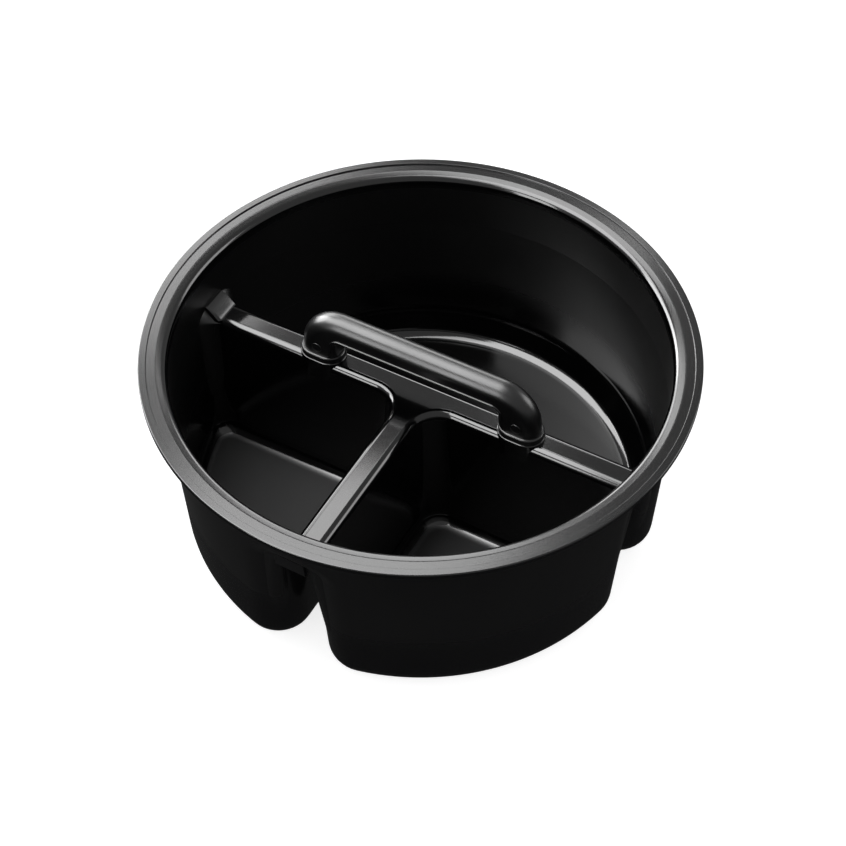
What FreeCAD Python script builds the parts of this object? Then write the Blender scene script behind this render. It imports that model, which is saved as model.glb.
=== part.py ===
"""Round tool caddy: a three-cup tray moulding that drops into a bucket, with a screwed-on bow handle.

The origin is the centre of the tray's base, +Z is up, +X runs along the main divider and
+Y points into the half-moon cup. Lengths are in millimetres.
"""

import FreeCAD, Part
import math
import os
import Sketcher

XY, XZ, YZ = "XY_Plane", "XZ_Plane", "YZ_Plane"
UNDER_BOSS = "divider_top + boss_rise - boss_depth"

# Lengths closer than this count as equal.
SAME = 0.001

DIMENSIONS = {
    # tray moulding
    "wall": 3.0,
    "tray_height": 126.0,
    "flange_radius": 152.5,
    "flange_underside": 122.6,
    "drum_top_radius": 141.6,
    "drum_base_radius": 136.0,
    "lip_width": 3.4,
    "lip_step": 1.1,
    "bead_width": 1.4,
    "mouth_radius": 3.0,
    "divider_top": 90.0,
    "divider_top_width": 16.5,
    "divider_base_width": 25.0,
    "slot_top_width": 10.5,
    "slot_base_width": 16.0,
    "slot_end_rise": 7.0,
    "slot_end_radius": 131.0,
    "deck_half_width": 30.0,
    "outer_mouth_radius": 20.0,
    "outer_junction_radius": 19.0,
    "outer_base_radius": 15.0,
    "inner_mouth_radius": 12.5,
    "inner_junction_radius": 16.0,
    "inner_floor_radius": 12.0,
    # handle bosses on the main divider
    "handle_span": 125.0,
    "boss_length": 27.4,
    "boss_width": 19.4,
    "boss_rise": 1.5,
    "boss_depth": 11.5,
    "screw_clearance": 5.5,
    # bow handle
    "grip_thickness": 15.0,
    "grip_top": 124.0,
    "foot_length": 23.0,
    "shoulder_radius": 20.0,
    "finger_corner_radius": 5.0,
    "grip_edge_radius": 7.3,
    "foot_flange_length": 26.4,
    "foot_flange_width": 18.4,
    "foot_flange_thickness": 4.2,
    # fasteners
    "insert_diameter": 7.0,
    "insert_length": 10.0,
    "insert_bore": 5.0,
    "insert_groove_width": 3.0,
    "insert_groove_floor": 1.0,
    "insert_groove_depth": 0.5,
    "screw_diameter": 5.0,
    "screw_length": 20.0,
    "screw_head_diameter": 9.5,
    "screw_head_height": 3.4,
    "screw_head_crown": 6.6,
    "screw_head_rim": 2.0,
    "screw_point_chamfer": 1.0,
    "socket_width": 3.0,
    "socket_depth": 1.8,
    "washer_diameter": 10.0,
    "washer_thickness": 1.0,
}

doc = FreeCAD.newDocument("tool_caddy")
sheet = doc.addObject("Spreadsheet::Sheet", "dimensions")
for row, (alias, number) in enumerate(DIMENSIONS.items(), start=1):
    sheet.set(f"A{row}", alias)
    sheet.set(f"B{row}", str(number))
    sheet.setAlias(f"B{row}", alias)
doc.recompute()


def cells(formula):
    """Spells a formula over the sheet's aliases the way other objects refer to them."""
    words = sorted(DIMENSIONS, key=len, reverse=True)
    for index, word in enumerate(words):
        formula = formula.replace(word, f"@{index}@")
    for index, word in enumerate(words):
        formula = formula.replace(f"@{index}@", f"dimensions.{word}")
    return formula


def number(formula):
    """The present value of a formula over the sheet's aliases."""
    return float(sheet.evalExpression(cells(formula)))


def new_body(label):
    body = doc.addObject("PartDesign::Body", label)
    body.Label = label
    return body


def new_sketch(body, name, plane, height=None):
    """A sketch on one of the body's own origin planes, raised along its normal if asked."""
    sketch = body.newObject("Sketcher::SketchObject", name)
    datum = [item for item in body.Origin.OriginFeatures if item.Role == plane]
    sketch.AttachmentSupport = [(datum[0], "")]
    sketch.MapMode = "FlatFace"
    if height:
        sketch.setExpression("AttachmentOffset.Base.z", cells(height))
    return sketch


def hold(sketch, kind, first, second, formula):
    """Ties a distance in a sketch to the sheet."""
    name = f"held_{sketch.ConstraintCount}"
    constraint = Sketcher.Constraint(kind, *first, *second, number(formula))
    index = sketch.addConstraint(constraint)
    sketch.renameConstraint(index, name)
    sketch.setExpression(f"Constraints.{name}", cells(formula))


def pin(sketch, geometry, end, x_formula, y_formula):
    """Fixes one point of a sketch at a place given by two formulas."""
    hold(sketch, "DistanceX", (-1, 1), (geometry, end), x_formula)
    hold(sketch, "DistanceY", (-1, 1), (geometry, end), y_formula)


def draw_polygon(sketch, corners):
    """A closed outline of straight lines through corners given as pairs of formulas."""
    points = [FreeCAD.Vector(number(x), number(y), 0) for x, y in corners]
    first = sketch.GeometryCount
    count = len(points)
    for index in range(count):
        ahead = (index + 1) % count
        sketch.addGeometry(Part.LineSegment(points[index], points[ahead]), False)
    for index in range(count):
        ahead = (index + 1) % count
        sketch.addConstraint(Sketcher.Constraint("Coincident", first + index, 2, first + ahead, 1))
        pin(sketch, first + index, 1, *corners[index])


def draw_circle(sketch, x_formula, diameter):
    """A circle centred on the sketch's horizontal axis."""
    centre = FreeCAD.Vector(number(x_formula), 0, 0)
    circle = Part.Circle(centre, FreeCAD.Vector(0, 0, 1), number(diameter) / 2)
    geometry = sketch.addGeometry(circle, False)
    pin(sketch, geometry, 3, x_formula, "0")
    index = sketch.addConstraint(Sketcher.Constraint("Diameter", geometry, number(diameter)))
    name = f"bore_{geometry}"
    sketch.renameConstraint(index, name)
    sketch.setExpression(f"Constraints.{name}", cells(diameter))


def extrude(body, kind, name, sketch, length, midplane=False, reverse=False):
    """A Pad or a Pocket of a sketch."""
    feature = body.newObject(f"PartDesign::{kind}", name)
    feature.Profile = sketch
    feature.SideType = "Symmetric" if midplane else "One side"
    feature.Reversed = reverse
    feature.setExpression("Length", cells(length))
    doc.recompute()
    return feature


def revolve(body, kind, name, sketch):
    """A Revolution or a Groove all the way round the sketch's vertical axis."""
    feature = body.newObject(f"PartDesign::{kind}", name)
    feature.Profile = sketch
    feature.ReferenceAxis = (sketch, ["V_Axis"])
    feature.Angle = 360
    doc.recompute()
    return feature


def edges_where(feature, test):
    """The names of the feature's edges whose bounding box passes the test."""
    names = []
    for index, edge in enumerate(feature.Shape.Edges, start=1):
        if test(edge.BoundBox):
            names.append(f"Edge{index}")
    return names


def round_edges(body, name, feature, test, radius):
    """A Fillet on those edges of the feature that pass the test."""
    fillet = body.newObject("PartDesign::Fillet", name)
    fillet.Base = (feature, edges_where(feature, test))
    fillet.setExpression("Radius", cells(radius))
    doc.recompute()
    return fillet


def draw_stadium(sketch, x_formula, length, width):
    """A slot-shaped outline along the sketch's X, centred on its horizontal axis."""
    radius = f"({width}) / 2"
    reach = f"(({length}) - ({width})) / 2"
    middle = number(x_formula)
    half = number(reach)
    size = number(radius)
    up = FreeCAD.Vector(0, 0, 1)
    right_centre = FreeCAD.Vector(middle + half, 0, 0)
    left_centre = FreeCAD.Vector(middle - half, 0, 0)
    quarter = math.pi / 2
    right = Part.ArcOfCircle(Part.Circle(right_centre, up, size), -quarter, quarter)
    left = Part.ArcOfCircle(Part.Circle(left_centre, up, size), quarter, 3 * quarter)
    lift = FreeCAD.Vector(0, size, 0)
    top = Part.LineSegment(right_centre + lift, left_centre + lift)
    bottom = Part.LineSegment(left_centre - lift, right_centre - lift)
    first = sketch.GeometryCount
    for curve in (right, top, left, bottom):
        sketch.addGeometry(curve, False)
    for near, far in ((0, 1), (1, 2), (2, 3), (3, 0)):
        sketch.addConstraint(Sketcher.Constraint("Tangent", first + near, 2, first + far, 1))
    pin(sketch, first, 3, f"({x_formula}) + {reach}", "0")
    pin(sketch, first + 2, 3, f"({x_formula}) - {reach}", "0")
    index = sketch.addConstraint(Sketcher.Constraint("Radius", first, size))
    name = f"radius_{first}"
    sketch.renameConstraint(index, name)
    sketch.setExpression(f"Constraints.{name}", cells(radius))


# --- tray --------------------------------------------------------------------------------------


def slotted_drum(body, rim, floor, base_radius, slot_base, slot_top, slot_roof):
    """A tapered drum whose lower part is split into three cups by a T of slots."""
    outline = new_sketch(body, f"{body.Label}_outline", XZ)
    corners = [("0", floor), (base_radius, floor), *rim]
    draw_polygon(outline, corners)
    revolve(body, "Revolution", f"{body.Label}_drum", outline)

    section = [
        (f"-({slot_base}) / 2", floor),
        (f"({slot_base}) / 2", floor),
        (f"({slot_top}) / 2", slot_roof),
        (f"-({slot_top}) / 2", slot_roof),
    ]
    main = new_sketch(body, f"{body.Label}_main_section", YZ)
    draw_polygon(main, section)
    extrude(body, "Pocket", f"{body.Label}_main", main, "flange_radius * 2", midplane=True)
    cross = new_sketch(body, f"{body.Label}_cross_section", XZ)
    draw_polygon(cross, section)
    return extrude(body, "Pocket", f"{body.Label}_cross", cross, "flange_radius", reverse=True)


def round_cups(body, drum, floor, mouth_radius, junction_radius, floor_radius):
    """Rounds the cups' upright corners, at the rim and at the middle, and then their bases."""
    height = number(floor)
    middle = number("drum_base_radius") / 2

    def is_upright(box):
        return box.ZMin < height + number("wall") and box.ZLength > number("divider_top") / 2

    def reach(box):
        return max(box.XMax, -box.XMin, -box.YMin)

    def at_rim(box):
        return is_upright(box) and reach(box) > middle

    def at_middle(box):
        return is_upright(box) and reach(box) < middle

    def at_base(box):
        return box.ZMax < height + SAME

    rim_corners = round_edges(body, f"{body.Label}_rim_corners", drum, at_rim, mouth_radius)
    corners = round_edges(
        body, f"{body.Label}_middle_corners", rim_corners, at_middle, junction_radius
    )
    round_edges(body, f"{body.Label}_base_edges", corners, at_base, floor_radius)


def raise_slot_ends(body, start, roof, width):
    """Steps the roof of the slots up where they reach the drum's wall, at all three ends."""
    raised = f"{roof} + slot_end_rise"
    step = [
        (start, roof),
        ("flange_radius", roof),
        ("flange_radius", raised),
        (start, raised),
    ]
    for end, plane, side in (("right", XZ, ""), ("left", XZ, "-"), ("front", YZ, "-")):
        outline = new_sketch(body, f"{body.Label}_{end}_end", plane)
        draw_polygon(outline, [(f"{side}({x})", y) for x, y in step])
        extrude(body, "Pocket", f"{body.Label}_{end}_rise", outline, width, midplane=True)


def build_tray():
    """One moulding: the drum and its flange, less a similar cavity one wall smaller."""
    lip_foot = "tray_height - lip_step"
    band_foot = "tray_height - lip_step - lip_step / 2"
    rim = [
        ("drum_top_radius", "flange_underside"),
        ("flange_radius", "flange_underside"),
        ("flange_radius", "tray_height"),
        ("flange_radius - lip_width", "tray_height"),
        ("flange_radius - lip_width", lip_foot),
        ("drum_top_radius + bead_width", lip_foot),
        ("drum_top_radius + bead_width", band_foot),
        ("0", band_foot),
    ]
    tray = new_body("tray")
    drum = slotted_drum(
        tray, rim, "0", "drum_base_radius",
        "slot_base_width", "slot_top_width", "divider_top - wall",
    )
    round_cups(
        tray, drum, "0", "outer_mouth_radius", "outer_junction_radius", "outer_base_radius"
    )
    raise_slot_ends(tray, "slot_end_radius", "divider_top - wall", "slot_top_width")

    cavity_rim = [
        ("drum_top_radius - wall", "flange_underside"),
        ("drum_top_radius - wall", "tray_height"),
        ("0", "tray_height"),
    ]
    cavity = new_body("tray_cavity")
    drum = slotted_drum(
        cavity, cavity_rim, "wall", "drum_base_radius - wall",
        "divider_base_width", "divider_top_width", "divider_top",
    )
    round_cups(
        cavity, drum, "wall", "inner_mouth_radius", "inner_junction_radius", "inner_floor_radius"
    )
    raise_slot_ends(cavity, "slot_end_radius - wall", "divider_top", "divider_top_width")

    hollow = tray.newObject("PartDesign::Boolean", "hollow")
    hollow.setObjects([cavity])
    hollow.Type = "Cut"
    doc.recompute()

    mouth_width = 2 * number("drum_top_radius - wall")

    def on_mouth(box):
        at_top = box.ZMin > number("tray_height - wall")
        return at_top and box.ZLength < SAME and abs(box.XLength - mouth_width) < SAME

    round_edges(tray, "rounded_mouth", hollow, on_mouth, "mouth_radius")

    bosses = new_sketch(tray, "boss_outlines", XY, UNDER_BOSS)
    holes = new_sketch(tray, "screw_holes_outline", XY, "divider_top + boss_rise")
    for side in ("", "-"):
        centre = f"{side}handle_span / 2"
        draw_stadium(bosses, centre, "boss_length", "boss_width")
        draw_circle(holes, centre, "screw_clearance")
    extrude(tray, "Pad", "bosses", bosses, "boss_depth")
    extrude(tray, "Pocket", "screw_holes", holes, "boss_depth")
    return tray


def prism(body, name, corners, foot, height):
    """Adds an upright block to a body, from the level of its foot up by its height."""
    outline = new_sketch(body, f"{name}_outline", XY, foot)
    draw_polygon(outline, corners)
    extrude(body, "Pad", name, outline, height)


def deck_region(label):
    """The space that holds the dividers' common top, without its raised ends, and the bosses."""
    region = new_body(label)
    arm = "slot_end_radius - wall"
    half = "deck_half_width"
    corners = [
        (f"-({arm})", half),
        (f"-({arm})", f"-{half}"),
        (f"-{half}", f"-{half}"),
        (f"-{half}", f"-({arm})"),
        (half, f"-({arm})"),
        (half, f"-{half}"),
        (arm, f"-{half}"),
        (arm, half),
    ]
    prism(region, f"{label}_arms", corners, "divider_top - wall", "wall + boss_rise")
    bosses = new_sketch(region, f"{label}_bosses_outline", XY, UNDER_BOSS)
    for side in ("", "-"):
        draw_stadium(bosses, f"{side}handle_span / 2", "boss_length", "boss_width")
    extrude(region, "Pad", f"{label}_bosses", bosses, "boss_depth")
    return region


def flange_region(label):
    """The space round the drum that holds the flange."""
    region = new_body(label)
    outline = new_sketch(region, f"{label}_outline", XZ)
    corners = [
        ("drum_top_radius", "flange_underside"),
        ("flange_radius + wall", "flange_underside"),
        ("flange_radius + wall", "tray_height + wall"),
        ("drum_top_radius", "tray_height + wall"),
    ]
    draw_polygon(outline, corners)
    revolve(region, "Revolution", f"{label}_turned", outline)
    return region


def block_region(label, x_low, x_high, y_low, y_high, foot):
    """An upright block as high as the dividers."""
    region = new_body(label)
    corners = [(x_low, y_low), (x_high, y_low), (x_high, y_high), (x_low, y_high)]
    prism(region, f"{label}_block", corners, foot, "divider_top")
    return region


def combine(body, name, region, kind):
    """Keeps the body's material inside a region (Common) or outside it (Cut)."""
    share = body.newObject("PartDesign::Boolean", name)
    share.setObjects([region])
    share.Type = kind
    doc.recompute()


def share_of_tray(label, tray, region):
    """The moulding's material inside a region, as a body of its own."""
    body = new_body(label)
    body.BaseFeature = tray
    doc.recompute()
    combine(body, f"{label}_share", region, "Common")
    return body


def divide_tray(tray):
    """Splits the moulding where its shapes meet, so that each piece is simple to collide with."""
    far = "flange_radius + wall"
    spaces = {
        "half_moon_cup": (f"-({far})", far, "0", far, "-wall"),
        "left_quarter_cup": (f"-({far})", "0", f"-({far})", "0", "-wall"),
        "right_quarter_cup": ("0", far, f"-({far})", "0", "-wall"),
        "collar": (f"-({far})", far, f"-({far})", far, "divider_top - wall"),
    }
    pieces = [share_of_tray("divider_deck", tray, deck_region("deck_space"))]
    for label, sides in spaces.items():
        piece = share_of_tray(label, tray, block_region(f"{label}_space", *sides))
        combine(piece, f"{label}_less_deck", deck_region(f"{label}_deck_space"), "Cut")
        pieces.append(piece)
    combine(pieces[-1], "collar_less_flange", flange_region("collar_flange_space"), "Cut")
    pieces.append(share_of_tray("flange", tray, flange_region("flange_space")))
    return pieces


# --- handle ------------------------------------------------------------------------------------


def build_handle():
    """A round grip that turns down at both ends into oval feet, each on a small flange."""
    handle = new_body("handle")
    seat = "divider_top + boss_rise"
    outer = "(handle_span + foot_length) / 2"
    inner = "(handle_span - foot_length) / 2"
    grip_underside = "grip_top - grip_thickness"
    side_view = new_sketch(handle, "bow_side_view", XZ)
    bow = [
        (f"-{outer}", seat),
        (f"-{inner}", seat),
        (f"-{inner}", grip_underside),
        (inner, grip_underside),
        (inner, seat),
        (outer, seat),
        (outer, "grip_top"),
        (f"-{outer}", "grip_top"),
    ]
    draw_polygon(side_view, bow)
    blank = extrude(handle, "Pad", "bow", side_view, "grip_thickness", midplane=True)

    def crosswise(box):
        return box.XLength < SAME and box.ZLength < SAME

    def shoulder(box):
        return crosswise(box) and box.ZMin > number("grip_top") - SAME

    def finger_corner(box):
        return crosswise(box) and abs(box.ZMin - number(grip_underside)) < SAME

    def along_bow(box):
        flat = box.YLength < SAME
        return flat and box.ZMax > number(seat) + SAME

    blank = round_edges(handle, "shoulders", blank, shoulder, "shoulder_radius")
    blank = round_edges(handle, "finger_corners", blank, finger_corner, "finger_corner_radius")
    round_edges(handle, "round_grip", blank, along_bow, "grip_edge_radius")

    flanges = new_sketch(handle, "foot_flange_outlines", XY, seat)
    sockets = new_sketch(handle, "insert_sockets_outline", XY, seat)
    for side in ("", "-"):
        centre = f"{side}handle_span / 2"
        draw_stadium(flanges, centre, "foot_flange_length", "foot_flange_width")
        draw_circle(sockets, centre, "insert_diameter")
    extrude(handle, "Pad", "foot_flanges", flanges, "foot_flange_thickness")
    extrude(handle, "Pocket", "insert_sockets", sockets, "insert_length", reverse=True)
    return handle


# --- fasteners ---------------------------------------------------------------------------------


def lathe_piece(label, corners, side, height):
    """A turned piece, drawn about its own axis and set over one of the handle's feet."""
    body = new_body(label)
    outline = new_sketch(body, f"{label}_outline", XZ)
    draw_polygon(outline, corners)
    revolve(body, "Revolution", f"{label}_turned", outline)
    body.setExpression("Placement.Base.x", cells(f"{side}handle_span / 2"))
    body.setExpression("Placement.Base.z", cells(height))
    return body


def build_insert(end, side):
    """A brass thread insert moulded into the foot, with a waist that locks it in the plastic."""
    bore = "insert_bore / 2"
    outside = "insert_diameter / 2"
    waist = "insert_diameter / 2 - insert_groove_depth"
    middle = "insert_length / 2"
    corners = [
        (bore, "0"),
        (outside, "0"),
        (outside, f"{middle} - insert_groove_width / 2"),
        (waist, f"{middle} - insert_groove_floor / 2"),
        (waist, f"{middle} + insert_groove_floor / 2"),
        (outside, f"{middle} + insert_groove_width / 2"),
        (outside, "insert_length"),
        (bore, "insert_length"),
    ]
    return lathe_piece(f"thread_insert_{end}", corners, side, "divider_top + boss_rise")


def build_washer(end, side):
    """A plain washer under the screw's head, in the slot below the divider."""
    corners = [
        ("screw_clearance / 2", "-washer_thickness"),
        ("washer_diameter / 2", "-washer_thickness"),
        ("washer_diameter / 2", "0"),
        ("screw_clearance / 2", "0"),
    ]
    return lathe_piece(f"washer_{end}", corners, side, UNDER_BOSS)


def build_screw(end, side):
    """A pan-head screw driven up through the boss, with a hexagon socket in its head."""
    edge = "screw_head_diameter / 2"
    corners = [
        ("0", "-screw_head_height"),
        ("screw_head_crown / 2", "-screw_head_height"),
        (edge, "-screw_head_rim"),
        (edge, "0"),
        ("screw_diameter / 2", "0"),
        ("screw_diameter / 2", "screw_length - screw_point_chamfer"),
        ("screw_diameter / 2 - screw_point_chamfer", "screw_length"),
        ("0", "screw_length"),
    ]
    screw = lathe_piece(f"handle_screw_{end}", corners, side, f"{UNDER_BOSS} - washer_thickness")
    socket = new_sketch(screw, f"handle_screw_{end}_socket_outline", XY, "-screw_head_height")
    spoke = "socket_width / (2 * cos(30))"
    turns = range(0, 360, 60)
    draw_polygon(socket, [(f"{spoke} * cos({turn})", f"{spoke} * sin({turn})") for turn in turns])
    name = f"handle_screw_{end}_socket"
    extrude(screw, "Pocket", name, socket, "socket_depth", reverse=True)
    return screw


def check_document(pieces):
    """Stops with a plain message if any object failed or any piece isn't one sound solid."""
    doc.recompute()
    for item in doc.Objects:
        if "Invalid" in item.State or "Error" in item.State:
            raise RuntimeError(f"{item.Name} failed: {item.State}")
    for piece in pieces:
        shape = piece.Shape
        if shape.isNull() or not shape.isValid() or len(shape.Solids) != 1:
            raise RuntimeError(f"{piece.Label} isn't one valid solid")


def export(pieces):
    """Writes each piece to a file named after its label."""
    os.makedirs("parts", exist_ok=True)
    for piece in pieces:
        piece.Shape.exportStep(f"parts/{piece.Label}.step")
        print(f"{piece.Label}: {piece.Shape.Volume / 1000:.2f} cm3")


pieces = divide_tray(build_tray())
pieces.append(build_handle())
for end, side in (("right", ""), ("left", "-")):
    pieces.append(build_insert(end, side))
    pieces.append(build_washer(end, side))
    pieces.append(build_screw(end, side))
check_document(pieces)
export(pieces)
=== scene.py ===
"""Looks of the round tool caddy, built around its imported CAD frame.

The tray is a black gloss moulding and the bow handle a satin one. The CAD solids keep square divider
edges and coarse facets, so both get finer visible meshes here, inside the same outline. Shapes are
worked out in millimetres and become metres when their mesh is made.
"""

import math

import bmesh
import bpy
from mathutils import Euler, Matrix, Vector


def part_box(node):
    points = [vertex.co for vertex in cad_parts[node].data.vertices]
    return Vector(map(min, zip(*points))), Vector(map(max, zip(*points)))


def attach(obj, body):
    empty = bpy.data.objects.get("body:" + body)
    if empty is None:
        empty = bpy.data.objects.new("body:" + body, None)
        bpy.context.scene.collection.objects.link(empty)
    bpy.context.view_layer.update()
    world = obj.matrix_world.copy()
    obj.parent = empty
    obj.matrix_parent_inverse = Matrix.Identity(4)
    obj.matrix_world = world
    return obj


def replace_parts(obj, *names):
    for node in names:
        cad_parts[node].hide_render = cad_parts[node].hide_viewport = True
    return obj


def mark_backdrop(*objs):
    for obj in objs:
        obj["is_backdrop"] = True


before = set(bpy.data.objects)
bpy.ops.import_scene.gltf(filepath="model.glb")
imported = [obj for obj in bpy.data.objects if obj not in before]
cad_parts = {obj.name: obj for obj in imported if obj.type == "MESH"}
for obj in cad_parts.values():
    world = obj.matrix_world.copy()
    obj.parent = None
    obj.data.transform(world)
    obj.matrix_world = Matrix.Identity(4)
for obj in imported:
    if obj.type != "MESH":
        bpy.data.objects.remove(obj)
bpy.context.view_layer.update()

MM = 0.001
QUARTER = math.pi / 2
HALF_TURN = 2 * QUARTER
FULL_TURN = 4 * QUARTER
TRAY_NODES = ("flange", "collar", "divider_deck", "half_moon_cup", "left_quarter_cup", "right_quarter_cup")

# Overall sizes, read from the frame.
FLANGE_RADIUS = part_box("flange")[1].x / MM
FLANGE_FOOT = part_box("flange")[0].z / MM
TRAY_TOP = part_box("flange")[1].z / MM
GRIP_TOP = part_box("handle")[1].z / MM
HANDLE_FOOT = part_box("handle")[0].z / MM
WASHER_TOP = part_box("washer_right")[1].z / MM
HANDLE_SPAN = (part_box("washer_right")[0].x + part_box("washer_right")[1].x) / MM

# The handle's two ends, as a name and a share of its span.
ENDS = (("right", 0.5), ("left", -0.5))

# The half-moon cup and then the two quarter cups, each between two divider directions.
CUP_SPANS = ((0, HALF_TURN), (HALF_TURN, 3 * QUARTER), (3 * QUARTER, FULL_TURN))

# Drum, cups and dividers. A pair gives the value at the foot and at the top.
WALL = 3.0
DRUM_RADIUS = (136.0, 141.6)
DIVIDER_TOP = 90.0
SLOT_ROOF = DIVIDER_TOP - WALL
DIVIDER_HALF = (12.5, 8.25)
SLOT_HALF = (8.0, 5.25)
ARCH_RISE = 17.0
ARCH_CLEARANCE = 2.0
RIM_CLEARANCE = 1.0

# Rim, from the crowned inner bead over the flat band to the raised lip.
BEAD_WIDTH = 6.0
BEAD_DROP = 1.5
LIP_WIDTH = 4.3
LIP_RISE = 0.8
LIP_SLOPE = 0.1
RIM_ROUNDINGS = (4.2, 3.0, 0.1, 0.25, 0.7, 0.8, 1.2)

# Handle bosses: plan size, top edge, and the body below as (how far it pulls in, height over the divider).
BOSS_LENGTH = 27.4
BOSS_WIDTH = 19.4
BOSS_EDGE = 0.6
BOSS_SHOULDER = 2.0
BOSS_SWELL = ((4.5, -12.0), (2.6, -9.5), (1.2, -7.0), (0.4, -4.5))

# Raised divider ends: (height over the divider, front face, half width, clipped corner) from the foot up.
DIVIDER_END_LEVELS = (
    (-1.5, 126.0, 9.0, 1.5),
    (0.0, 126.4, 8.8, 1.5),
    (0.7, 127.4, 8.7, 1.5),
    (4.4, 131.6, 8.4, 1.2),
    (6.4, 135.8, 8.0, 0.8),
)

# Roundings. The half-moon cup's foot is two roundings with a steep slope between them.
DIVIDER_EDGE = 4.5
INNER_MOUTH = (13.0, 4.5)
OUTER_MOUTH = (20.0, 20.0)
INNER_JUNCTION = 16.0
OUTER_JUNCTION = 19.0
FOOT_ROUNDING = 9.0
FOOT_SLOPE = math.radians(60)
SLOPE_ROUNDING = 14.0
HALF_MOON_SLOPE = 7.0
BASE_RADIUS = 15.0
LEAST_CORNER = 0.4

# Mesh fineness.
ARC_STEPS = 64
CORNER_STEPS = 12
LINE_STEPS = 16
ROUND_STEPS = 10
GAP_STEPS = 16
LEVEL_STEPS = 8
EDGE_STEPS = 6
PAD_STEPS = 16
CIRCLE_STEPS = 32


def mix(pair, share):
    """The value that lies a share of the way from the pair's first to its second."""
    return pair[0] + (pair[1] - pair[0]) * share


def drum_radius(height):
    """Outer radius of the tapered drum."""
    return mix(DRUM_RADIUS, height / FLANGE_FOOT)


def polar(radius, angle):
    """The point of the plan at a radius and an angle."""
    return Vector((radius * math.cos(angle), radius * math.sin(angle)))


# The drum's inside radius at the dividers' top, which the wall above them keeps.
INNER_WALL = drum_radius(DIVIDER_TOP) - WALL


class MeshMaker:
    """Collects points and faces, then makes one smooth-shaded object that rides on the part."""

    def __init__(self):
        self.points = []
        self.faces = []

    def add(self, point, height):
        """Adds a point and returns its index."""
        self.points.append((point[0], point[1], height))
        return len(self.points) - 1

    def ring(self, flat_points, height):
        """Adds points of one height and returns their indices."""
        return [self.add(point, height) for point in flat_points]

    def bridge(self, lower, upper, closed=True):
        """Quads between two rows of the same length."""
        count = len(lower)
        for index in range(count if closed else count - 1):
            ahead = (index + 1) % count
            self.faces.append((lower[index], lower[ahead], upper[ahead], upper[index]))

    def loft(self, rows):
        """A closed form through closed rows, capped at both ends."""
        for lower, upper in zip(rows, rows[1:]):
            self.bridge(lower, upper)
        self.faces.append(tuple(rows[0]))
        self.faces.append(tuple(rows[-1]))

    def build(self, name, material, sharp_angle=50):
        """Makes the object, with smooth shading that breaks at edges sharper than the angle."""
        mesh = bpy.data.meshes.new(name)
        mesh.from_pydata([Vector(point) * MM for point in self.points], [], self.faces)
        work = bmesh.new()
        work.from_mesh(mesh)
        bmesh.ops.recalc_face_normals(work, faces=work.faces)
        work.to_mesh(mesh)
        work.free()
        mesh.polygons.foreach_set("use_smooth", [True] * len(mesh.polygons))
        mesh.set_sharp_from_angle(angle=math.radians(sharp_angle))
        mesh.materials.append(material)
        piece = bpy.data.objects.new(name, mesh)
        bpy.context.scene.collection.objects.link(piece)
        weigh = piece.modifiers.new("even_shading", "WEIGHTED_NORMAL")
        weigh.keep_sharp = True
        weigh.weight = 80
        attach(piece, "root")
        return piece


# --- tray --------------------------------------------------------------------------------------


def arc(centre, size, begin, finish, steps=CORNER_STEPS):
    """Points along an arc, with both of its ends."""
    turn = (finish - begin) / steps
    return [centre + polar(size, begin + turn * step) for step in range(steps + 1)]


def line_inside(begin, finish):
    """Points strictly between two others."""
    return [begin.lerp(finish, step / LINE_STEPS) for step in range(1, LINE_STEPS)]


def cup_outline(start, end, half, radius, mouth, junction):
    """Plan outline of a cup between two divider directions, counterclockwise, with rounded corners.

    Returns the points along the drum's wall and the points along the dividers, as two lists.
    """
    swing = math.asin((half + mouth) / (radius - mouth))
    first, last = start + swing, end - swing
    steps = round((end - start) / QUARTER) * ARC_STEPS
    wall = arc(Vector((0, 0)), radius, first, last, steps)
    far_corner = arc(polar(radius - mouth, last), mouth, last, end + QUARTER)[1:]
    near_corner = arc(polar(radius - mouth, first), mouth, start - QUARTER, first)[:-1]
    is_half_circle = end - start > 1.5 * QUARTER
    if is_half_circle:
        return wall, far_corner + line_inside(far_corner[-1], near_corner[0]) + near_corner
    middle = polar((half + junction) * math.sqrt(2), (start + end) / 2)
    bend = arc(middle, junction, end + QUARTER, start - QUARTER + FULL_TURN)
    inward = line_inside(far_corner[-1], bend[0])
    outward = line_inside(bend[-1], near_corner[0])
    return wall, far_corner + inward + bend + outward + near_corner


def round_foot(size, begin=0.0, finish=QUARTER):
    """(rise above the floor, how far the wall stands in) along a rounding between two slopes."""
    turns = [mix((begin, finish), step / ROUND_STEPS) for step in range(ROUND_STEPS + 1)]
    start = size * (1 - math.cos(begin))
    return [(size * (1 - math.cos(turn)) - start, size * (1 - math.sin(turn))) for turn in turns]


def sloped_foot():
    """A foot that rounds up from the floor to a steep slope and then bends into the wall."""
    low = round_foot(FOOT_ROUNDING, 0.0, FOOT_SLOPE)
    high = round_foot(SLOPE_ROUNDING, FOOT_SLOPE, QUARTER)
    run = HALF_MOON_SLOPE / math.tan(FOOT_SLOPE)
    shift = high[0][1] + run - low[-1][1]
    lift = low[-1][0] + HALF_MOON_SLOPE
    foot = [(rise, inward + shift) for rise, inward in low]
    return foot + [(rise + lift, inward) for rise, inward in high]


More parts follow.
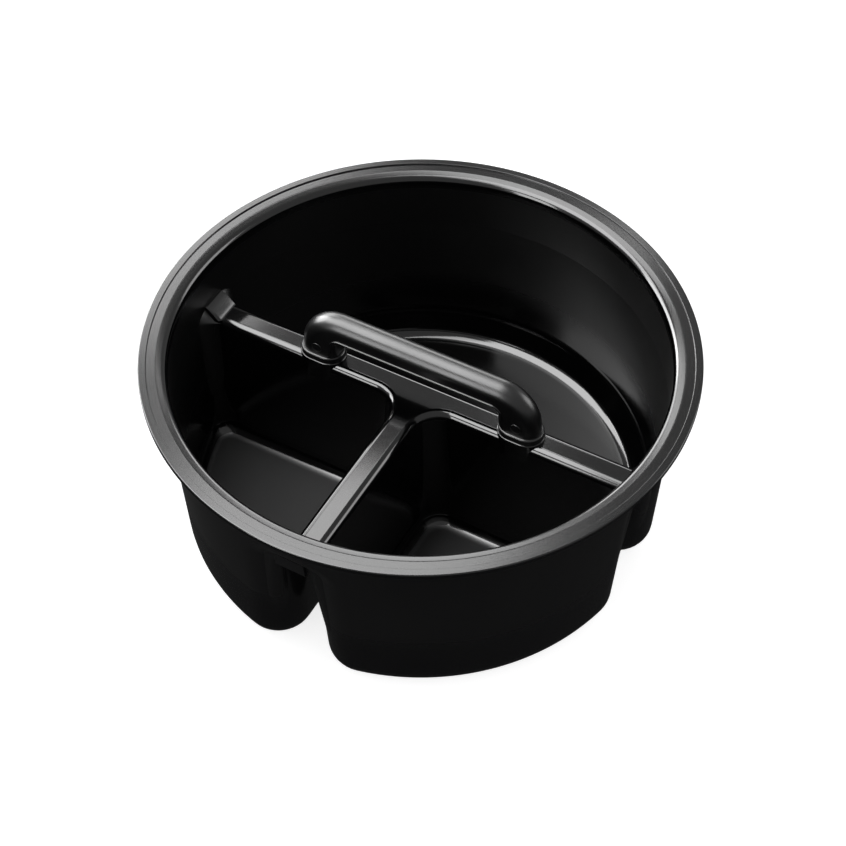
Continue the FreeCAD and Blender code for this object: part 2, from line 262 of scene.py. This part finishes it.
def cup_levels(floor, top, foot, edge_radius):
    """(height, how far the foot pulls in, how far the top rounding lets out) from the floor up."""
    turns = [QUARTER * step / ROUND_STEPS for step in range(1, ROUND_STEPS + 1)]
    low, high = floor + foot[-1][0], top - edge_radius
    levels = [(floor + rise, inward, 0.0) for rise, inward in foot]
    levels += [(mix((low, high), step / LEVEL_STEPS), 0.0, 0.0) for step in range(1, LEVEL_STEPS + 1)]
    if edge_radius:
        for turn in turns:
            levels.append((high + edge_radius * math.sin(turn), 0.0, edge_radius * (1 - math.cos(turn))))
    return levels


def add_cup(maker, span, floor, top, inset, half, mouth, junction, foot, edge_radius):
    """One cup's skin. Returns its top row as wall points and divider points."""
    rows = []
    for height, pull, let_out in cup_levels(floor, top, foot, edge_radius):
        share = (height - floor) / (top - floor)
        wall, sides = cup_outline(
            *span,
            mix(half, share) + pull - let_out,
            drum_radius(height) - inset - pull,
            max(mix(mouth, share) - pull, LEAST_CORNER),
            junction - pull + let_out,
        )
        rows.append((maker.ring(wall, height), maker.ring(sides, height)))
    maker.faces.append(tuple(rows[0][0] + rows[0][1]))
    for lower, upper in zip(rows, rows[1:]):
        maker.bridge(lower[0] + lower[1], upper[0] + upper[1])
    return rows[-1]


def turn_of(maker, index):
    """Angle of a point in plan, from 0 to a full turn."""
    return math.atan2(maker.points[index][1], maker.points[index][0]) % FULL_TURN


def shortest_turn(begin, finish):
    """The signed turn of at most half a circle from one angle to another."""
    return (finish - begin + HALF_TURN) % FULL_TURN - HALF_TURN


def arc_between(maker, begin, finish, height, radius):
    """New points on a circle, strictly between two points that are already on it."""
    low = turn_of(maker, begin)
    high = turn_of(maker, finish)
    if high < low:
        high += FULL_TURN
    return maker.ring(arc(Vector((0, 0)), radius, low, high, GAP_STEPS)[1:-1], height)


def add_rings(maker, row, profile, aim=None):
    """Carries a closed row of points along a profile of (radius, height).

    On the way the points turn towards the angles of the points in aim, where that is given.
    """
    turns = [turn_of(maker, index) for index in row]
    aims = [turn_of(maker, index) for index in aim] if aim else turns
    drift = [shortest_turn(here, there) for here, there in zip(turns, aims)]
    for step, (radius, height) in enumerate(profile, start=1):
        share = step / len(profile)
        places = [polar(radius, turn + shift * share) for turn, shift in zip(turns, drift)]
        upper = maker.ring(places, height)
        maker.bridge(row, upper)
        row = upper
    return row


def rounded(corner, before, after, size):
    """Points of a small rounding at a profile corner, between the directions of its neighbours."""
    corner, before, after = Vector(corner), Vector(before), Vector(after)
    back = (before - corner).normalized()
    ahead = (after - corner).normalized()
    half_angle = back.angle(ahead) / 2
    reach = size / math.tan(half_angle)
    centre = corner + (back + ahead).normalized() * (size / math.sin(half_angle))
    begin = math.atan2(*(corner + back * reach - centre).yx)
    finish = math.atan2(*(corner + ahead * reach - centre).yx)
    finish = begin + shortest_turn(begin, finish)
    return [tuple(point) for point in arc(centre, size, begin, finish, EDGE_STEPS)]


def round_profile(points, sizes):
    """A profile whose inner corners are rounded, each by its own size."""
    result = []
    for index, size in enumerate(sizes, start=1):
        result += rounded(points[index], points[index - 1], points[index + 1], size)
    return result + [points[-1]]


def rim_profile():
    """From the inner wall over the bead, flat band and lip to the drum's outer wall below the flange."""
    band = TRAY_TOP - LIP_RISE
    drum = drum_radius(FLANGE_FOOT)
    lip = FLANGE_RADIUS - LIP_WIDTH
    points = [
        (INNER_WALL, DIVIDER_TOP),
        (INNER_WALL, band - BEAD_DROP),
        (INNER_WALL + BEAD_WIDTH, band),
        (lip, band),
        (lip + LIP_SLOPE, TRAY_TOP),
        (FLANGE_RADIUS, TRAY_TOP),
        (FLANGE_RADIUS, FLANGE_FOOT),
        (drum, FLANGE_FOOT),
        (drum_radius(DIVIDER_TOP), DIVIDER_TOP),
    ]
    return round_profile(points, RIM_ROUNDINGS)[:-1]


def straight_wall(low, high):
    """Profile of a straight wall between two (radius, height) points."""
    return [tuple(Vector(low).lerp(Vector(high), step / LEVEL_STEPS)) for step in range(1, LEVEL_STEPS + 1)]


def add_arch(maker, direction, near, far):
    """The flared top of a slot's mouth between two cups' outer corners.

    near and far are the corners' points from the wall inward. Returns the edge on the wall and the
    edge of the roof.
    """
    along, across = polar(1, direction), polar(1, direction + QUARTER)
    places = []
    for index in far:
        flat = Vector(maker.points[index][:2])
        reach = flat.dot(across)
        depth = math.sqrt(drum_radius(SLOT_ROOF) ** 2 - reach ** 2) - flat.dot(along)
        places.append((reach, depth))
    outer, inner = places[0][0], places[-1][0]
    rows = [near]
    for step in range(1, GAP_STEPS):
        turn = HALF_TURN * step / GAP_STEPS
        row = []
        for reach, depth in places:
            height = SLOT_ROOF + ARCH_RISE * math.sin(turn) * (reach - inner) / (outer - inner)
            side = -reach * math.cos(turn)
            forward = math.sqrt(drum_radius(height) ** 2 - side ** 2) - depth
            row.append(maker.add(along * forward + across * side, height))
        rows.append(row)
    rows.append(far)
    for first, second in zip(rows, rows[1:]):
        maker.bridge(first, second, closed=False)
    return [row[0] for row in rows], [row[-1] for row in rows]


def add_inner_cups(maker):
    """The three cups' insides, as (top row on the wall, top row along the dividers)."""
    feet = (sloped_foot(), round_foot(FOOT_ROUNDING), round_foot(FOOT_ROUNDING))
    return [
        add_cup(maker, span, WALL, DIVIDER_TOP, WALL, DIVIDER_HALF, INNER_MOUTH, INNER_JUNCTION,
                foot, DIVIDER_EDGE)
        for span, foot in zip(CUP_SPANS, feet)
    ]


def add_outer_cups(maker):
    """The three cups' outsides up to the slots' roof, as (row on the wall, row along the slots)."""
    foot = round_foot(BASE_RADIUS)
    return [
        add_cup(maker, span, 0.0, SLOT_ROOF, 0.0, SLOT_HALF, OUTER_MOUTH, OUTER_JUNCTION, foot, 0.0)
        for span in CUP_SPANS
    ]


def close_inside(maker, cups):
    """Closes the dividers' top between the cups. Returns the closed row at the foot of the wall above."""
    deck, inside = [], []
    for index, (wall, sides) in enumerate(cups):
        next_wall = cups[(index + 1) % len(cups)][0]
        gap = arc_between(maker, wall[-1], next_wall[0], DIVIDER_TOP, INNER_WALL)
        deck += [wall[0]] + sides[::-1] + [wall[-1]] + gap
        inside += wall + gap
    maker.faces.append(tuple(deck))
    return inside


def close_outside(maker, cups):
    """Closes the slots' roof and arches. Returns the closed row along the drum's outer wall."""
    roof, outside = [], []
    for index, (wall, sides) in enumerate(cups):
        next_wall, next_sides = cups[(index + 1) % len(cups)]
        near = [wall[-1]] + sides[:CORNER_STEPS]
        far = [next_wall[0]] + next_sides[::-1][:CORNER_STEPS]
        on_wall, on_roof = add_arch(maker, CUP_SPANS[index][1], near, far)
        roof += sides[::-1][CORNER_STEPS - 1:len(sides) - CORNER_STEPS] + on_roof[:-1]
        outside += wall + on_wall[1:-1]
    maker.faces.append(tuple(roof))
    return outside


def build_tray(material):
    """The whole moulding as one closed skin: cups, dividers, rim, drum, and the slots below."""
    maker = MeshMaker()
    inner = add_inner_cups(maker)
    outer = add_outer_cups(maker)
    inside = close_inside(maker, inner)
    outside = close_outside(maker, outer)

    rim = rim_profile()
    rim_foot = rim[0][1] - RIM_CLEARANCE
    above_arch = SLOT_ROOF + ARCH_RISE + ARCH_CLEARANCE
    row = add_rings(maker, inside, straight_wall((INNER_WALL, DIVIDER_TOP), (INNER_WALL, rim_foot)))
    row = add_rings(maker, row, rim)
    outer_wall = straight_wall(rim[-1], (drum_radius(above_arch), above_arch))
    row = add_rings(maker, row, outer_wall, aim=outside)
    maker.bridge(row, outside)
    tray = maker.build("tray_moulding", material)
    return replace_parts(tray, *TRAY_NODES)


def stadium(length, width, centre):
    """Plan outline with round ends, long in X, about a centre on the X axis."""
    reach = (length - width) / 2
    right = arc(Vector((centre + reach, 0)), width / 2, -QUARTER, QUARTER, PAD_STEPS)
    left = arc(Vector((centre - reach, 0)), width / 2, QUARTER, 3 * QUARTER, PAD_STEPS)
    return right + left


def pad_rows(maker, length, width, centre, profile):
    """Rows of a stadium-shaped pad: the profile holds (how far the side pulls in, height)."""
    rows = []
    for pull, height in profile:
        rows.append(maker.ring(stadium(length - 2 * pull, width - 2 * pull, centre), height))
    return rows


def edge_profile(foot, top, size):
    """Profile of a pad with a rounded top edge."""
    turns = [QUARTER * step / EDGE_STEPS for step in range(EDGE_STEPS + 1)]
    edge = [(size * (1 - math.cos(turn)), top - size + size * math.sin(turn)) for turn in turns]
    return [(0.0, foot)] + edge


def build_bosses(material):
    """The oval pads under the handle's feet, with a body that swells out of the divider's sides."""
    profile = [(pull, DIVIDER_TOP + height) for pull, height in BOSS_SWELL]
    profile += edge_profile(WASHER_TOP - BOSS_SHOULDER, HANDLE_FOOT, BOSS_EDGE)
    for end, side in ENDS:
        maker = MeshMaker()
        maker.loft(pad_rows(maker, BOSS_LENGTH, BOSS_WIDTH, HANDLE_SPAN * side, profile))
        maker.build(f"handle_boss_{end}", material)


def build_divider_ends(material):
    """The raised blocks where the slots step up at the drum's wall, at all three ends."""
    back = INNER_WALL + WALL / 2
    for end, direction in (("right", 0), ("left", HALF_TURN), ("front", 3 * QUARTER)):
        maker = MeshMaker()
        turn = Matrix.Rotation(direction, 2)
        rows = []
        for rise, front, half, clip in DIVIDER_END_LEVELS:
            outline = [
                (back, half), (back, -half), (front + clip, -half), (front, -half + clip),
                (front, half - clip), (front + clip, half),
            ]
            rows.append(maker.ring([turn @ Vector(corner) for corner in outline], DIVIDER_TOP + rise))
        maker.loft(rows)
        maker.build(f"divider_end_{end}", material, sharp_angle=25)


# --- handle ------------------------------------------------------------------------------------

# Bow. A pair gives the value at the foot and in the grip.
GRIP_THICKNESS = 15.0
FOOT_LENGTH = 23.0
SHOULDER_RADIUS = 25.0
FINGER_RADIUS = 3.5
FINGER_RISE = 8.0
SECTION_EDGE = (7.0, 2.2)

# Parting lip: how far it stands out, and where it begins, is full and ends above the section's low side.
PARTING_LIP = 0.6
PARTING_PLACES = (1.0, 0.8, 0.2)

# Feet: the flange on the boss, and a round mark as (radius, how far it stands out).
FOOT_FLANGE_LENGTH = 26.4
FOOT_FLANGE_WIDTH = 18.4
FOOT_FLANGE_THICKNESS = 4.0
FOOT_FLANGE_EDGE = 1.2
MARK_RISE = 9.0
MARK_PROFILE = ((3.3, -0.4), (3.2, 0.0), (3.0, 0.18), (2.5, 0.25), (1.2, 0.1))

# Mesh fineness of the bow, along it and around it.
FOOT_STEPS = 4
SHOULDER_STEPS = 20
GRIP_STEPS = 12
OUTSIDE_STEPS = 16
UNDERSIDE_STEPS = 8


def bow_stations():
    """(under point, over point) pairs from the right foot up over the grip to its middle, in the XZ plane."""
    outer_x = (HANDLE_SPAN + FOOT_LENGTH) / 2
    inner_x = (HANDLE_SPAN - FOOT_LENGTH) / 2
    underside = GRIP_TOP - GRIP_THICKNESS
    finger = Vector((inner_x - FINGER_RADIUS, underside - FINGER_RADIUS))
    shoulder = Vector((outer_x - SHOULDER_RADIUS, GRIP_TOP - SHOULDER_RADIUS))
    stations = []
    for step in range(FOOT_STEPS):
        share = step / FOOT_STEPS
        under = Vector((inner_x, mix((HANDLE_FOOT, finger.y), share)))
        over = Vector((outer_x, mix((HANDLE_FOOT, shoulder.y), share)))
        stations.append((under, over))
    for step in range(SHOULDER_STEPS + 1):
        turn = QUARTER * step / SHOULDER_STEPS
        stations.append((finger + polar(FINGER_RADIUS, turn), shoulder + polar(SHOULDER_RADIUS, turn)))
    for step in range(1, GRIP_STEPS + 1):
        share = 1 - step / GRIP_STEPS
        stations.append((Vector((finger.x * share, underside)), Vector((shoulder.x * share, GRIP_TOP))))
    return stations


def bow_section(length, edge, lip):
    """Cross-section of the bow: round outside, flat under the fingers, with a fine lip on each side."""
    half = GRIP_THICKNESS / 2
    low = edge - length / 2
    begin, full, finish = (low + place for place in PARTING_PLACES)
    outer = arc(Vector((length / 2 - half, 0)), half, -QUARTER, QUARTER, OUTSIDE_STEPS)
    step = [Vector((begin, half)), Vector((full, half + lip)), Vector((finish, half + lip))]
    corner = arc(Vector((low, half - edge)), edge, QUARTER, HALF_TURN, UNDERSIDE_STEPS)
    upper = step + corner
    return outer + upper + [Vector((point.x, -point.y)) for point in upper[::-1]]


def build_handle(material):
    """The bow: a round grip that widens through its shoulders into the oval feet."""
    maker = MeshMaker()
    right = bow_stations()
    left = [tuple(Vector((-point.x, point.y)) for point in pair) for pair in right[-2::-1]]
    rows = []
    for under, over in right + left:
        middle = (under + over) / 2
        direction = (over - under).normalized()
        share = min((under.y - HANDLE_FOOT) / FINGER_RISE, 1.0)
        row = []
        for flat in bow_section((over - under).length, mix(SECTION_EDGE, share), PARTING_LIP * share):
            place = middle + direction * flat.x
            row.append(maker.add((place.x, flat.y), place.y))
        rows.append(row)
    maker.loft(rows)
    bow = maker.build("bow_handle", material, sharp_angle=40)
    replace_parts(bow, "handle")


def build_handle_feet(material):
    """The rounded flange that carries each foot, and the mark above it."""
    top = HANDLE_FOOT + FOOT_FLANGE_THICKNESS
    profile = edge_profile(HANDLE_FOOT, top, FOOT_FLANGE_EDGE)
    for end, side in ENDS:
        maker = MeshMaker()
        maker.loft(pad_rows(maker, FOOT_FLANGE_LENGTH, FOOT_FLANGE_WIDTH, HANDLE_SPAN * side, profile))
        maker.build(f"handle_foot_flange_{end}", material)
        build_foot_mark(f"handle_foot_mark_{end}", HANDLE_SPAN * side, material)


def build_foot_mark(name, middle, material):
    """A faint round button on the front of a foot."""
    maker = MeshMaker()
    rows = []
    for radius, proud in MARK_PROFILE:
        circle = arc(Vector((middle, HANDLE_FOOT + MARK_RISE)), radius, 0, FULL_TURN, CIRCLE_STEPS)[:-1]
        rows.append([maker.add((place.x, -GRIP_THICKNESS / 2 - proud), place.y) for place in circle])
    maker.loft(rows)
    maker.build(name, material)


# --- materials ---------------------------------------------------------------------------------

# Where the tray's finish changes, in millimetres: each pair is where the change begins and ends.
RIM_ABOVE = (122.5, 123.2)
FLOOR_BELOW = (3.1, 4.5)
QUARTER_CUPS_BELOW = (-12.0, -8.0)
WALL_ABOVE = (30.0, 50.0)
WALL_BELOW = (116.0, 121.0)
WALL_BEYOND = (128.0, 132.0)

# Roughness of the polished moulding, and what each of those regions adds to it.
POLISH = (0.08, 0.12)
RIM_ROUGHNESS = 0.06
FLOOR_ROUGHNESS = 0.7
WALL_ROUGHNESS = 0.22

# Roughness of the handle's satin finish.
SATIN = (0.26, 0.34)

# The blacks, each from its darker to its lighter cloud.
TRAY_BLACKS = ((0.0015, 0.0015, 0.0017), (0.0026, 0.0026, 0.0028))
HANDLE_BLACKS = ((0.0025, 0.0025, 0.0028), (0.0040, 0.0040, 0.0043))

# Fineness of the turned lines on the rim, in lines per metre.
RING_SCALE = 1900

# How deep the surfaces' fine relief is, in metres.
RELIEF = 0.0002

# The part of a noise pattern's range that nearly all of its values lie in.
NOISE_RANGE = (0.3, 0.7)


class Nodes:
    """Short spellings for building one procedural material."""

    def __init__(self, name, **values):
        self.material = bpy.data.materials.new(name)
        self.material.use_nodes = True
        self.tree = self.material.node_tree
        self.shader = self.tree.nodes["Principled BSDF"]
        for socket, value in values.items():
            self.shader.inputs[socket.replace("_", " ")].default_value = value
        self.place = self.tree.nodes.new("ShaderNodeTexCoord").outputs["Object"]

    def node(self, kind, *inputs, **settings):
        """Adds a node and links or sets its inputs in order; None leaves an input as it is."""
        node = self.tree.nodes.new(f"ShaderNode{kind}")
        for name, value in settings.items():
            setattr(node, name, value)
        for socket, value in zip(node.inputs, inputs):
            if value is None:
                continue
            if isinstance(value, bpy.types.NodeSocket):
                self.tree.links.new(value, socket)
            else:
                socket.default_value = value
        return node.outputs[0]

    def math(self, operation, *inputs):
        """One arithmetic step."""
        return self.node("Math", *inputs, operation=operation)

    def noise(self, scale, detail=2.0):
        """A noise pattern that is fixed to the object."""
        return self.node("TexNoise", self.place, None, scale, detail)

    def spread(self, value, low, high):
        """Maps a noise value onto the range from low to high."""
        return self.node("MapRange", value, *NOISE_RANGE, low, high)

    def above(self, value, change):
        """0 below a change's first length and 1 above its second."""
        low, high = change
        return self.node("MapRange", value, low * MM, high * MM, 0.0, 1.0)

    def below(self, value, change):
        """1 below a change's first length and 0 above its second."""
        low, high = change
        return self.node("MapRange", value, low * MM, high * MM, 1.0, 0.0)

    def bump(self, height, strength, below=None):
        """Relief from a height pattern, on top of the relief below it."""
        node = self.tree.nodes.new("ShaderNodeBump")
        node.inputs["Strength"].default_value = strength
        node.inputs["Distance"].default_value = RELIEF
        self.tree.links.new(height, node.inputs["Height"])
        if below:
            self.tree.links.new(below, node.inputs["Normal"])
        return node.outputs[0]

    def drive(self, socket, value):
        """Links a value to one of the shader's sockets."""
        self.tree.links.new(value, self.shader.inputs[socket])

    def tint(self, share, first, second):
        """A blend of two colours."""
        node = self.tree.nodes.new("ShaderNodeMix")
        node.data_type = "RGBA"
        self.tree.links.new(share, node.inputs["Factor"])
        node.inputs["A"].default_value = (*first, 1)
        node.inputs["B"].default_value = (*second, 1)
        return node.outputs["Result"]


def tray_roughness(nodes, clouds, z, y, radius, on_rim):
    """Polished, with a grain on the quarter cups' floors and a softer gloss on the walls and the rim."""
    grained = nodes.math("MULTIPLY", nodes.below(z, FLOOR_BELOW), nodes.below(y, QUARTER_CUPS_BELOW))
    on_wall = nodes.math("MULTIPLY", nodes.above(z, WALL_ABOVE), nodes.below(z, WALL_BELOW))
    on_wall = nodes.math("MULTIPLY", on_wall, nodes.above(radius, WALL_BEYOND))
    roughness = nodes.spread(clouds, *POLISH)
    for share, extra in ((grained, FLOOR_ROUGHNESS), (on_rim, RIM_ROUGHNESS), (on_wall, WALL_ROUGHNESS)):
        roughness = nodes.math("ADD", roughness, nodes.math("MULTIPLY", share, extra))
    return roughness


def tray_plastic():
    """Black gloss moulding with faint turned lines on the rim and a very fine grain."""
    nodes = Nodes("tray_plastic", IOR=1.5)
    split = nodes.tree.nodes.new("ShaderNodeSeparateXYZ")
    nodes.tree.links.new(nodes.place, split.inputs[0])
    x, y, z = split.outputs
    squares = [nodes.math("MULTIPLY", axis, axis) for axis in (x, y)]
    radius = nodes.math("SQRT", nodes.math("ADD", *squares))
    on_rim = nodes.above(z, RIM_ABOVE)
    clouds = nodes.noise(14, 3)
    nodes.drive("Base Color", nodes.tint(clouds, *TRAY_BLACKS))
    nodes.drive("Roughness", tray_roughness(nodes, clouds, z, y, radius, on_rim))
    rings = nodes.node("TexNoise", None, radius, RING_SCALE, noise_dimensions="1D")
    turned = nodes.math("MULTIPLY", rings, on_rim)
    grain = nodes.bump(nodes.noise(1500, 2), 0.05)
    nodes.drive("Normal", nodes.bump(turned, 0.04, below=grain))
    return nodes.material


def handle_plastic():
    """Satin black moulding with a fine even grain."""
    nodes = Nodes("handle_plastic", IOR=1.5)
    clouds = nodes.noise(30, 3)
    nodes.drive("Base Color", nodes.tint(clouds, *HANDLE_BLACKS))
    nodes.drive("Roughness", nodes.spread(clouds, *SATIN))
    nodes.drive("Normal", nodes.bump(nodes.noise(2200, 2), 0.12))
    return nodes.material


def metal(name, light, dark, roughness):
    """Turned metal with a slightly uneven surface."""
    nodes = Nodes(name, Metallic=1.0)
    clouds = nodes.noise(260, 4)
    nodes.drive("Base Color", nodes.tint(clouds, dark, light))
    nodes.drive("Roughness", nodes.spread(clouds, roughness - 0.08, roughness + 0.08))
    nodes.drive("Normal", nodes.bump(nodes.noise(1800, 2), 0.15))
    return nodes.material


def dress_hidden_fasteners():
    """Gives the carried-over CAD fasteners their metals."""
    brass = metal("brass", (0.80, 0.60, 0.28), (0.62, 0.42, 0.16), 0.3)
    zinc = metal("zinc_steel", (0.68, 0.68, 0.66), (0.48, 0.48, 0.47), 0.34)
    metals = {"thread_insert": brass, "washer": zinc, "handle_screw": zinc}
    for end, _ in ENDS:
        for kind, material in metals.items():
            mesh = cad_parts[f"{kind}_{end}"].data
            mesh.materials.clear()
            mesh.materials.append(material)


# --- studio ------------------------------------------------------------------------------------

CEILING = 1.5
FLOOR_REACH = 6.0
FLOOR_GLOW = 0.78

# The sky grows lighter from the first to the second of these heights on its unit sphere.
SKY_HEIGHTS = (-0.60, 0.10)
SKY_STRENGTHS = (0.03, 0.60)


def build_floor():
    """A plain white floor, which gloss doesn't mirror."""
    sides = ((-1, -1), (1, -1), (1, 1), (-1, 1))
    corners = [(FLOOR_REACH * x, FLOOR_REACH * y, 0) for x, y in sides]
    mesh = bpy.data.meshes.new("floor")
    mesh.from_pydata(corners, [], [(0, 1, 2, 3)])
    floor = bpy.data.objects.new("floor", mesh)
    bpy.context.scene.collection.objects.link(floor)
    nodes = Nodes("white_floor", Roughness=0.9)
    nodes.drive("Base Color", nodes.tint(nodes.noise(2), (0.70, 0.70, 0.70), (0.72, 0.72, 0.72)))
    nodes.shader.inputs["Emission Color"].default_value = (1, 1, 1, 1)
    nodes.shader.inputs["Emission Strength"].default_value = FLOOR_GLOW
    mesh.materials.append(nodes.material)
    floor.visible_glossy = False
    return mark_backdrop(floor)


def softbox(name, place, aim, width, height, radiance):
    """A rectangular light that faces a point. Its power follows from how bright its face looks."""
    light = bpy.data.lights.new(name, "AREA")
    light.shape = "RECTANGLE"
    light.size = width
    light.size_y = height
    light.energy = radiance * width * height * math.pi
    lamp = bpy.data.objects.new(name, light)
    lamp.location = place
    lamp.rotation_euler = (Vector(aim) - Vector(place)).to_track_quat("-Z", "Y").to_euler()
    bpy.context.scene.collection.objects.link(lamp)
    return lamp


def overhead(name, x_low, x_high, y_low, y_high, radiance):
    """A softbox that hangs level above the caddy."""
    middle_x, middle_y = (x_low + x_high) / 2, (y_low + y_high) / 2
    place = (middle_x, middle_y, CEILING)
    return softbox(name, place, (middle_x, middle_y, 0), x_high - x_low, y_high - y_low, radiance)


def light_studio():
    """Softboxes that light the gloss alone, since diffuse surfaces don't see them, and then the sky."""
    mirrored = [
        overhead("ceiling_front", -2.0, -0.24, -1.1, 0.35, 12),
        overhead("ceiling_back", -0.8, -0.3, 0.35, 0.92, 8),
        overhead("ceiling_middle", -0.24, -0.06, -0.45, 0.35, 8),
        overhead("ceiling_far_left", -1.9, -0.93, 0.9, 1.6, 7),
        overhead("ceiling_streak", -0.49, -0.41, 1.15, 1.7, 6),
        softbox("left_panel", (-2.0, 0.25, 0.85), (0, 0.25, 0.85), 1.4, 1.2, 16),
        softbox("front_panel", (-0.65, -1.75, 0.75), (-0.65, 0, 0.75), 0.6, 1.4, 10),
        softbox("back_panel", (-0.68, 1.8, 0.85), (0, 0, 0.1), 0.8, 0.7, 6),
        softbox("back_left_panel", (-1.5, 1.0, 0.55), (0, 0, 0.1), 1.2, 0.9, 8),
        softbox("back_right_panel", (1.3, 1.1, 0.8), (0, 0, 0.1), 1.0, 0.9, 5),
    ]
    for lamp in mirrored:
        lamp.visible_diffuse = False
    build_sky()


def build_sky():
    """A white sky that darkens below the horizon and gives the floor its soft, even light."""
    world = bpy.data.worlds.new("pale_studio")
    world.use_nodes = True
    tree = world.node_tree
    split = tree.nodes.new("ShaderNodeSeparateXYZ")
    tree.links.new(tree.nodes.new("ShaderNodeTexCoord").outputs["Generated"], split.inputs[0])
    rise = tree.nodes.new("ShaderNodeMapRange")
    limits = (*SKY_HEIGHTS, *SKY_STRENGTHS)
    for socket, value in zip(("From Min", "From Max", "To Min", "To Max"), limits):
        rise.inputs[socket].default_value = value
    tree.links.new(split.outputs["Z"], rise.inputs["Value"])
    tree.links.new(rise.outputs[0], tree.nodes["Background"].inputs["Strength"])
    tree.nodes["Background"].inputs["Color"].default_value = (1, 1, 1, 1)
    bpy.context.scene.world = world


def place_camera():
    """Looks down at the caddy from the front right."""
    camera = bpy.data.cameras.new("camera")
    camera.lens = 80.85
    camera.sensor_width = 36
    azimuth, pitch, roll = math.radians(29.21), math.radians(49.37), -0.00551
    view = bpy.data.objects.new("camera", camera)
    view.location = (0.3427, -0.6106, 0.8791)
    look = Euler((QUARTER - pitch, 0, azimuth)).to_matrix()
    view.rotation_euler = (look @ Matrix.Rotation(roll, 3, "Z")).to_euler()
    bpy.context.scene.collection.objects.link(view)
    bpy.context.scene.camera = view


gloss = tray_plastic()
satin = handle_plastic()
build_tray(gloss)
build_bosses(gloss)
build_divider_ends(gloss)
build_handle(satin)
build_handle_feet(satin)
dress_hidden_fasteners()
build_floor()
light_studio()
place_camera()
bpy.context.scene.view_settings.view_transform = "Standard"
